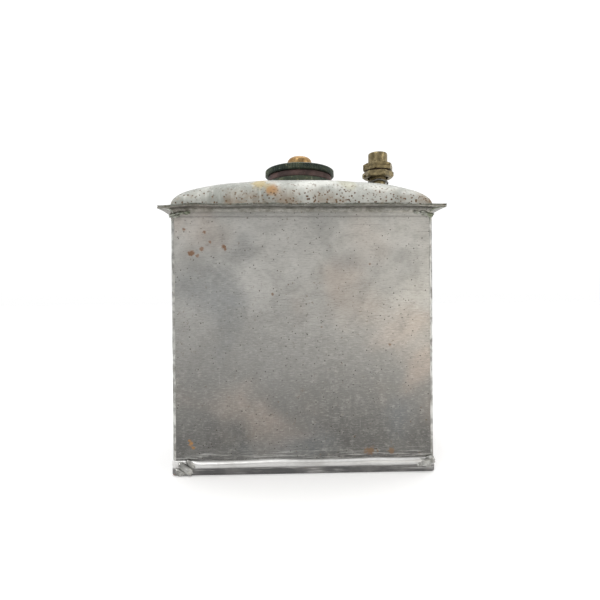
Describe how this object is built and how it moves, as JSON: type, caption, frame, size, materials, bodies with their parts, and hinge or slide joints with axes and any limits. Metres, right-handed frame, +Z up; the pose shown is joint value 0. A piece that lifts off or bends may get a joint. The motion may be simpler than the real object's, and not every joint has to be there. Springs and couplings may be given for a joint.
{
  "type": "gallon fuel can",
  "caption": "Rectangular soldered tinplate fuel can with a domed flanged lid, a ribbed screw filler cap with a vent knob, and a brass union outlet with a pickup tube.",
  "frame": {"origin": "middle of the base, on the surface the can stands on", "axes": "+Z up, front panel toward -Y, +X to the right seen from the front, with the outlet fitting on the +X side"},
  "size_m": [0.186, 0.1352, 0.2287],
  "materials": {
    "tinplate_front": "aged tinplate, dull and scratched, with rust specks",
    "tinplate": "aged tinplate, dull and scratched",
    "tinplate_bottom": "tinplate, scuffed bright along the bead",
    "lid_tin": "chalky oxidised tin with rust pitting near the flange",
    "solder": "lumpy soft solder",
    "dark_bronze": "brass with a dark green-black patina",
    "polished_brass": "handled brass, satin",
    "aged_brass": "aged olive brass",
    "gasket_rubber": "aged red-brown rubber",
    "fibre": "dark vulcanised fibre",
    "dark_wire": "blackened spring wire",
    "copper": "copper tube",
    "gauze": "brass gauze"
  },
  "bodies": {
    "tank": {"front_panel": "tinplate_front", "back_panel": "tinplate", "left_panel": "tinplate", "right_panel": "tinplate", "bottom_pan": "tinplate_bottom", "lid": "lid_tin", "lid_seam_solder": "solder", "filler_collar": "dark_bronze", "collar_solder": "solder", "outlet_boss": "aged_brass", "outlet_solder": "solder", "lock_nut": "aged_brass", "retaining_clip": "dark_wire", "pickup_tube": "copper", "strainer": "gauze", "corner_seam_front_left": "solder", "corner_solder_front_left": "solder", "corner_seam_front_right": "solder", "corner_solder_front_right": "solder", "corner_seam_back_left": "solder", "corner_solder_back_left": "solder", "corner_seam_back_right": "solder", "corner_solder_back_right": "solder"},
    "cap_gasket_carrier": {"cap_gasket": "gasket_rubber"},
    "cap": {"filler_cap": "dark_bronze"},
    "vent_washer_carrier": {"vent_washer": "fibre"},
    "vent": {"vent_knob": "polished_brass"},
    "union_washer_carrier": {"union_washer": "fibre"},
    "union": {"union_nut": "aged_brass"}
  },
  "joints": [
    {"name": "cap_lift", "type": "slide", "parent": "tank", "child": "cap_gasket_carrier", "axis": [0, 0, 1], "range_m": [0, 0.009]},
    {"name": "cap_turn", "type": "hinge", "parent": "cap_gasket_carrier", "child": "cap", "pos_m": [0, 0, 0.2096], "axis": [0, 0, 1], "range_deg": [0, 1080]},
    {"name": "vent_lift", "type": "slide", "parent": "cap", "child": "vent_washer_carrier", "axis": [0, 0, 1], "range_m": [0, 0.002]},
    {"name": "vent_turn", "type": "hinge", "parent": "vent_washer_carrier", "child": "vent", "pos_m": [0, 0, 0.2162], "axis": [0, 0, 1], "range_deg": [0, 720]},
    {"name": "union_lift", "type": "slide", "parent": "tank", "child": "union_washer_carrier", "axis": [0, 0, 1], "range_m": [0, 0.0075]},
    {"name": "union_turn", "type": "hinge", "parent": "union_washer_carrier", "child": "union", "pos_m": [0.062, 0, 0.2147], "axis": [0, 0, 1], "range_deg": [0, 1800]}
  ],
  "couplings": [
    {"joint": "cap_turn", "follows": "cap_lift", "rad_per_m": 2094.4},
    {"joint": "vent_turn", "follows": "vent_lift", "rad_per_m": 6283.2},
    {"joint": "union_turn", "follows": "union_lift", "rad_per_m": 4188.8}
  ]
}
